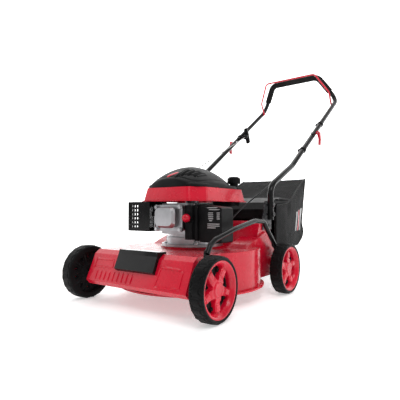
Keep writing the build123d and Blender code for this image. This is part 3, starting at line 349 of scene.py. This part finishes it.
def wheel(name, body, spin):
    """Tyre, inner web and outer cap, in the CAD wheel's place."""
    cx, cy, cz = middle(name + "_wheel")
    sign = 1 if cx > 0 else -1
    edges = [abs(corner[0]) for node in ("_wheel", "_hubcap")
             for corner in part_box(name + node)]
    cx = sign * (max(edges) - WHEEL_HALF_WIDTH * MM)
    columns = WHEEL_COLUMNS
    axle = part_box("front_axle" if "front" in name else "rear_axle")
    hub_end = (axle[1][0] - abs(cx)) / MM + 0.25

    def place(x, radius, angle):
        turn = angle + spin
        return (cx + sign * x * MM, cy + radius * MM * math.cos(turn),
                cz + radius * MM * math.sin(turn))

    rows = [(-22.0, 70.0), (-22.0, 75.0), (-22.0, 79.0), (-21.9, 82.0), (-21.4, 84.5)]
    band = [-20.8 + 41.6 * i / 26 for i in range(27)]
    points = []
    for x, radius in rows:
        points += [place(x, radius, TAU * j / columns) for j in range(columns)]
    for x in band:
        points += [place(x, tread_radius(TAU * j / columns, x), TAU * j / columns)
                   for j in range(columns)]
    outer = ((21.4, 84.5), (21.9, 82.5), (21.95, 80.5), (21.4, 79.6), (20.9, 77.6),
             (18.0, 76.6), (4.0, 75.0))
    for x, radius in outer:
        points += [place(x, radius, TAU * j / columns) for j in range(columns)]
    count = len(rows) + len(band) + len(outer)
    tyre = make_mesh(name + "_tyre", points, ring_faces(count, columns), [TYRE], body)

    # inner web: a dished black disc with round holes and ribs
    radii = [9.0 + 67.0 * i / 34 for i in range(35)]
    points = []
    for radius in radii:
        for j in range(columns):
            angle = TAU * j / columns
            hole = WEB_HOLE_RADIUS
            part = angle * WEB_HOLES / TAU
            local = (part % 1.0 - 0.5) * TAU / WEB_HOLES * WEB_HOLE_RING
            near = math.hypot(local, radius - WEB_HOLE_RING)
            rib = abs(((part + 0.5) % 1.0) - 0.5) * TAU / WEB_HOLES * radius
            x = -12.0 + 5.0 * step(radius, 20, 34) - 9.0 * step(radius, 68, 73)
            x -= (3.2 * (1 - step(rib, 1.0, 1.8)) * step(radius, 22, 26)
                  * (1 - step(radius, 64, 68)))
            x += 9.0 * (1 - step(near, hole, hole + 1.6))
            points.append(place(x, radius, angle))
    make_mesh(name + "_web", points, ring_faces(len(radii), columns), [BLACK], body)

    # outer cap: raised centre, five box spokes, dark windows and a dished rim
    radii = [0.4] + [1.5 + 75.1 * i / 62 for i in range(63)]
    points, dark = [], []
    for radius in radii:
        for j in range(columns):
            angle = TAU * j / columns
            local = abs(((angle * SPOKES / TAU) % 1.0 - 0.5) * TAU / SPOKES * radius)
            half = 13.2 - 2.6 * step(radius, 26, 44)
            spoke = 1 - step(local, half, half + 2.6)
            block = ((1 - step(local, half - 3.6, half - 1.4)) * step(radius, 36, 39.5)
                     * (1 - step(radius, 57.5, 61)))
            centre = 1 - step(radius, 24, 31)
            web = max(spoke, centre, step(radius, 60.5, 63))
            top = 15.5 - 3.5 * step(radius, 17.5, 24) - 3.0 * step(radius, 28, 38)
            rim = step(radius, 60, 74)
            x = ((top + 3.2 * block) * (1 - rim) + rim * 20.6
                 - 1.5 * step(radius, 58, 61) * (1 - step(radius, 61, 66)))
            x += (hub_end - x) * (1 - step(radius, 14.6, 17.8))
            x = web * x + (1 - web) * -3.0
            points.append(place(x, radius, angle))
            dark.append(web < 0.25)
    faces = ring_faces(len(radii), columns)
    indices = [1 if all(dark[v] for v in f) else 0 for f in faces]
    cap = make_mesh(name + "_cap", points, faces, [HUB, BLACK], body, indices)
    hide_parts(name + "_wheel")
    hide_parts(name + "_hubcap")


body_of = {n: b for b, names in frame["record"]["behaviour"]["bodies"].items() for n in names}
for number, name in enumerate(("front_left", "front_right", "rear_left", "rear_right")):
    wheel(name, body_of[name + "_wheel"], 0.35 + 0.9 * number)

# ---------------------------------------------------------------- grass bag
OUTLINE = [(534, 145), (800, 145), (870, 174), (890, 204), (860, 234), (921, 449),
           (652, 327), (534, 317)]
BAG_HALF_MOST = 198.0


def along(points, count):
    """Points at even steps along an open line, as (y, z)."""
    spans = [math.dist(a, b) for a, b in zip(points, points[1:])]
    total = sum(spans)
    found = []
    for i in range(count + 1):
        need = total * i / count
        for (a, b), span in zip(zip(points, points[1:]), spans):
            if need <= span + 1e-9:
                t = need / span
                found.append((a[0] + (b[0] - a[0]) * t, a[1] + (b[1] - a[1]) * t))
                break
            need -= span
    return found, total


def soften(points, rounds):
    """Rounds the corners of an open line, with its ends kept."""
    for _ in range(rounds):
        points = [points[0]] + [
            ((a[0] + 2 * b[0] + c[0]) / 4, (a[1] + 2 * b[1] + c[1]) / 4)
            for a, b, c in zip(points, points[1:], points[2:])] + [points[-1]]
    return points


def bag_half(y):
    """Half width of the bag, which narrows to the back."""
    return 192.0 - 30.0 * step(y, 600, 925)


def ripple(place, scale, seed):
    return noise.noise(Vector((place[0] * scale + seed, place[1] * scale, place[2] * scale)))


def make_bag():
    raw, total = along(OUTLINE, 110)
    line = soften(raw, 3)
    across = 36
    centre = (705.0, 240.0)
    points, flat = [], []
    for i, (y, z) in enumerate(line):
        for j in range(across + 1):
            u = 2 * j / across - 1
            x = bag_half(y) * u
            edge = 1 - u ** 4
            top = step(z, 300, 330) * (1 - step(y, 900, 925))
            sag = edge * (-5.0 * top * step(y, 640, 760)
                          + 2.0 * (1 - top) * step(y, 560, 640))
            dy, dz = y - centre[0], z - centre[1]
            reach = math.hypot(dy, dz)
            spot = (x, y, z)
            crease = 2.4 * ripple(spot, 0.013, 3.0) + 1.3 * ripple(spot, 0.045, 7.0)
            move = (sag + crease * edge) * step(y, 545, 600)
            points.append(at(x, y + move * dy / reach, z + move * dz / reach))
            flat.append((x * MM, total * i / len(line) * MM))
    columns = across + 1
    faces = ring_faces(len(line), columns, closed=False)
    for sign in (-1, 1):
        base = len(points)
        rings = 14
        for k in range(rings + 1):
            share = k / rings
            for y, z in line:
                py = centre[0] + (y - centre[0]) * (1 - share * 0.999)
                pz = centre[1] + (z - centre[1]) * (1 - share * 0.999)
                belly = 5.0 * (1 - (1 - share) ** 3)
                fold = 3.2 * ripple((sign * 90, py, pz), 0.016, 11.0 * sign)
                fold += 1.4 * ripple((sign * 90, py, pz), 0.05, 5.0)
                x = bag_half(py) - 3.0 * share + belly + fold * min(1.0, share * 5)
                x = min(x, BAG_HALF_MOST)
                points.append(at(sign * x, py, pz))
                flat.append((py * MM, pz * MM))
        faces += [tuple(base + v for v in (f if sign > 0 else f[::-1]))
                  for f in ring_faces(rings + 1, len(line))]
    bag = make_mesh("bag_cloth", points, faces, [CLOTH], None)
    layer = bag.data.uv_layers.new(name="UVMap")
    for loop in bag.data.loops:
        layer.data[loop.index].uv = flat[loop.vertex_index]
    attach(bag, "bag")
    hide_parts("bag_fabric")
    return bag, line


bag, bag_line = make_bag()
for sign in (-1, 1):
    route = [at(sign * (bag_half(y) + 0.8), y, z) for y, z in bag_line]
    side = "left" if sign > 0 else "right"
    tube(f"bag_piping_{side}", route, 2.1, BLACK, "bag")

# plain mark on the bag's near side: three slanted bars, which stand for nothing
for i in range(3):
    y0 = 742 + 34 * i
    top = 290 + 8 * i
    corners = [at(0, y0, 208), at(0, y0 + 17, 208), at(0, y0 + 47, top), at(0, y0 + 30, top)]
    tree = BVHTree.FromObject(bag, bpy.context.evaluated_depsgraph_get())
    points = []
    for a in range(9):
        for b in range(9):
            foot, head = corners[0].lerp(corners[1], a / 8), corners[3].lerp(corners[2], a / 8)
            place = foot.lerp(head, b / 8)
            found, _, _, _ = tree.ray_cast(place + Vector((0.4, 0, 0)), Vector((-1, 0, 0)))
            points.append(found + Vector((0.0007, 0, 0)))
    paint = HUB if i == 1 else PALE
    make_mesh(f"bag_mark_{i}", points, ring_faces(9, 9, False), [paint], "bag")

# ---------------------------------------------------------------- recoil cover
COVER_Y = 261.0
COVER_HALF = (117.0, 150.0)
COVER_LOW, COVER_TOP = 372.5, 450.4


def cover_height(x, y):
    """Low wide dome over the flywheel, squarer at its foot than at its crown."""
    reach = ((abs(x) / COVER_HALF[0]) ** 2.6
             + (abs(y - COVER_Y + 14) / COVER_HALF[1]) ** 2.6) ** (1 / 2.6)
    foot = COVER_LOW + 11
    return foot + (COVER_TOP - foot) * max(0.0, 1 - reach ** 1.9) ** 0.9


# four slanted slots on each side of the crown, each with a slat beside it
TOWARDS, ACROSS = (0.59, -0.81), (0.81, 0.59)
SLOTS = []
for turn in (1, -1):
    for k in range(4):
        deep, wide = 116, -50 + 20 * k
        a = [turn * (TOWARDS[i] * deep + ACROSS[i] * wide) for i in (0, 1)]
        b = [a[i] + turn * (ACROSS[i] * 36 - TOWARDS[i] * 40) for i in (0, 1)]
        SLOTS.append(((a[0], 247 + a[1]), (b[0], 247 + b[1])))


def slot_depth(x, y):
    """How far the slots cut below the dome here."""
    depth = 0.0
    for (ax, ay), (bx, by) in SLOTS:
        t = ((x - ax) * (bx - ax) + (y - ay) * (by - ay)) / ((bx - ax) ** 2 + (by - ay) ** 2)
        t = min(1.0, max(0.0, t))
        away = math.hypot(x - ax - (bx - ax) * t, y - ay - (by - ay) * t)
        depth = max(depth, 8.0 * (1 - step(away, 2.6, 4.6)))
    return depth


def make_cover():
    columns = 360
    points = []
    shares = [0.002] + [i / 100 for i in range(1, 101)]
    for share in shares:
        for j in range(columns):
            c, n = math.cos(TAU * j / columns), math.sin(TAU * j / columns)
            size = (abs(c) ** 4.5 + abs(n) ** 4.5) ** (-1 / 4.5)
            x = COVER_HALF[0] * share * c * size
            y = COVER_Y + COVER_HALF[1] * share * n * size
            lip = 2.2 * (1 - step(abs(share - 0.9), 0.008, 0.022))
            z = cover_height(x, y) - slot_depth(x, y) - lip - 4.0 * step(share, 0.975, 1.0)
            points.append(at(x, y, z))
    for j in range(columns):
        c, n = math.cos(TAU * j / columns), math.sin(TAU * j / columns)
        size = (abs(c) ** 4.5 + abs(n) ** 4.5) ** (-1 / 4.5)
        points.append(at(COVER_HALF[0] * 1.004 * c * size,
                         COVER_Y + COVER_HALF[1] * 1.004 * n * size, COVER_LOW))
    cover = make_mesh("recoil_dome", points, ring_faces(len(shares) + 1, columns), [SATIN],
                      "deck")
    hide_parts("recoil_cover")


make_cover()


def on_cover(name, path, half, lift, material):
    """Raised bar or badge that follows the dome along a straight run in plan."""
    (ax, ay), (bx, by) = path
    length = math.hypot(bx - ax, by - ay)
    px, py = -(by - ay) / length, (bx - ax) / length
    points = []
    for i in range(15):
        t = i / 14
        taper = math.sin(math.pi * (0.12 + 0.76 * t)) ** 0.4
        for j in range(-3, 4):
            x = ax + (bx - ax) * t + px * half * taper * j / 3
            y = ay + (by - ay) * t + py * half * taper * j / 3
            rim = i in (0, 14) or abs(j) == 3
            rise = -1.2 if rim else lift * (1 - (j / 3.2) ** 2 * 0.3)
            points.append(at(x, y, cover_height(x, y) + rise))
    make_mesh(name, points, ring_faces(15, 7, False), [material], "deck")


for k, run in enumerate(SLOTS):
    gap = 7.6 if k < 4 else -7.6
    beside = tuple((x + ACROSS[0] * gap, y + ACROSS[1] * gap) for x, y in run)
    on_cover(f"louvre_{k}", beside, 3.2, 2.6, SATIN)
on_cover("cover_badge", ((-14, 127), (18, 151)), 7.0, 0.9, HUB)

# ---------------------------------------------------------------- knurled fuel cap
def make_fuel_cap():
    cx, cy, _ = middle("fuel_cap")
    columns = 144
    profile = [(2, 420.0), (17, 420.0), (18.5, 419.0), (19.5, 416.5), (23.6, 416.0),
               (24.6, 414.6), (24.6, 397), (24.0, 395), (18.6, 394.4)]
    points = []
    for radius, z in profile:
        for j in range(columns):
            turn = TAU * j / columns
            wave = 0.5 + 0.5 * math.cos(24 * TAU * j / columns)
            knurl = 0.9 * wave if 23.8 < radius else 0.0
            r = (radius - knurl) * MM
            points.append((cx + r * math.cos(turn), cy + r * math.sin(turn), z * MM))
    cap = make_mesh("fuel_cap_knurled", points, ring_faces(len(profile), columns), [BLACK],
                    "fuel_cap")
    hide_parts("fuel_cap")


make_fuel_cap()

# ---------------------------------------------------------------- small details on CAD surfaces
BACK = Vector((0, 1, 0))
LABEL_LEFT, LABEL_BAR = 142, 2.4
# plain bars of the blank label: height, start and end
LABEL_ROWS = ((303, 0, 40), (297, 6, 48), (287, 4, 24), (287, 36, 48), (281, 4, 24),
              (281, 36, 48), (275, 4, 24), (275, 36, 48), (269, 4, 24), (269, 36, 48),
              (263, 8, 20), (253, 0, 48), (247, 0, 48), (241, 0, 34))
for i, (z, start, end) in enumerate(LABEL_ROWS):
    x0, x1 = LABEL_LEFT + start, LABEL_LEFT + end
    corners = [at(x0, 0, z), at(x1, 0, z), at(x1, 0, z + LABEL_BAR), at(x0, 0, z + LABEL_BAR)]
    pad(f"label_line_{i}", "air_filter_cover", corners, BACK, 0.3, PALE, "filter_cover", (6, 3))
for i in range(9):
    x = -166 + 19.5 * i
    corners = [at(x, 0, 77), at(x + 6, 0, 77), at(x + 6, 0, 108), at(x, 0, 108)]
    pad(f"fascia_rib_{i}", "deck_shell", corners, BACK, 3.0, SHELL, "deck", (4, 6))


def frame_pads(name, outline, width):
    """Raised border round a moulded panel."""
    for i, (a, b) in enumerate(zip(outline, outline[1:] + outline[:1])):
        run = Vector((b[0] - a[0], 0, b[1] - a[1])).normalized()
        side = Vector((-run.z, 0, run.x)) * width / 2
        p = Vector((a[0], 0, a[1])) - run * width * 0.4
        q = Vector((b[0], 0, b[1])) + run * width * 0.4
        corners = [at(v.x, 0, v.z) for v in (p - side, q - side, q + side, p + side)]
        pad(f"{name}_{i}", "deck_shell", corners, BACK, 2.4, SHELL, "deck", (10, 4))


frame_pads("panel_right", [(88, 82), (176, 84), (176, 132), (96, 136)], 7)
frame_pads("panel_left", [(-184, 116), (-100, 118), (-104, 140), (-184, 140)], 6)

# ---------------------------------------------------------------- floor, light and camera
def glowing_sheet(name, corners, finish, strength):
    """Flat white sheet of the studio, which gives off a little light."""
    shader = finish.node_tree.nodes["Principled BSDF"]
    shader.inputs["Emission Color"].default_value = WHITE
    shader.inputs["Emission Strength"].default_value = strength
    return make_mesh(name, corners, [(0, 1, 2, 3)], [finish], None, smooth=False)


HALF, BELOW = 9, -0.0002
floor = glowing_sheet(
    "floor",
    [(-HALF, -HALF, BELOW), (HALF, -HALF, BELOW), (HALF, HALF, BELOW), (-HALF, HALF, BELOW)],
    finish_of("floor_white", (0.9, 0.9, 0.9), 0.6, grain=60.0, bump=0.02, wear=0.0, mottle=0.01),
    0.42)
backdrop = glowing_sheet(
    "backdrop", [(-HALF, 3.2, -1), (HALF, 3.2, -1), (HALF, 3.2, 7), (-HALF, 3.2, 7)],
    finish_of("backdrop_white", (0.9, 0.9, 0.9), 0.7, grain=40.0, bump=0.0, wear=0.0, mottle=0.0),
    1.1)
backdrop.rotation_euler = (0, 0, math.radians(36))

world = bpy.data.worlds.new("studio")
bpy.context.scene.world = world
world.use_nodes = True
world.node_tree.nodes["Background"].inputs["Color"].default_value = WHITE
world.node_tree.nodes["Background"].inputs["Strength"].default_value = 0.4


def lamp(name, place, target, size, power):
    """Rectangular lamp that faces a point."""
    data = bpy.data.lights.new(name, "AREA")
    data.shape = "RECTANGLE"
    data.size, data.size_y = size
    data.energy = power
    obj = bpy.data.objects.new(name, data)
    obj.location = place
    obj.rotation_euler = (Vector(target) - Vector(place)).to_track_quat("-Z", "Y").to_euler()
    bpy.context.scene.collection.objects.link(obj)


lamp("key", (1.6, -1.6, 2.4), (0, -0.3, 0.25), (1.6, 1.0), 26)
lamp("fill", (-2.2, -1.8, 1.4), (0, -0.3, 0.3), (1.4, 1.8), 9)
lamp("top", (0.0, 0.3, 3.0), (0, 0, 0.2), (2.4, 2.4), 22)
lamp("side", (2.6, 0.6, 1.0), (0.1, 0.0, 0.3), (0.7, 1.8), 9)

lens = bpy.data.cameras.new("camera")
lens.sensor_width = 36.0
lens.lens = 34.71
lens.shift_x = 0.0041
lens.shift_y = -0.0018
camera = bpy.data.objects.new("camera", lens)
camera.location = (0.8276, AXLE_Y - 0.8488, 0.2973)
camera.rotation_euler = Euler((math.radians(91.593), 0.0, math.radians(36.104)))
bpy.context.scene.collection.objects.link(camera)
bpy.context.scene.camera = camera
bpy.context.scene.view_settings.view_transform = "Standard"
